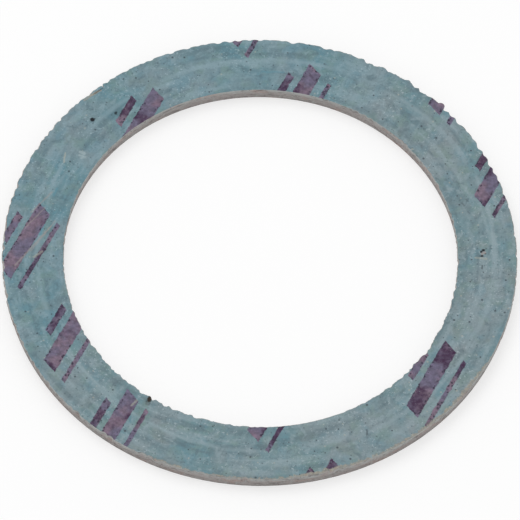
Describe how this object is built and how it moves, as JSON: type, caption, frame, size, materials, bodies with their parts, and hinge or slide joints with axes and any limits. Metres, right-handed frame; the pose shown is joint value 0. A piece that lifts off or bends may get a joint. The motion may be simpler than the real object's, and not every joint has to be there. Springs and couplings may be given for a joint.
{
  "type": "exhaust gasket",
  "caption": "Flat ring gasket cut from compressed fibre sheet, with nibbled edges, that seals a round exhaust pipe joint between two flange faces.",
  "frame": {"origin": "centre of the bore, on the underside that the ring lies on", "axes": "+Z along the bore, out of the printed face; -Y faces the viewer of the picture, +X is to the right"},
  "size_m": [0.0655, 0.0655, 0.002],
  "materials": {
    "fibre_sheet": "matte"
  },
  "bodies": {
    "root": {"gasket_ring": "fibre_sheet"}
  },
  "joints": []
}
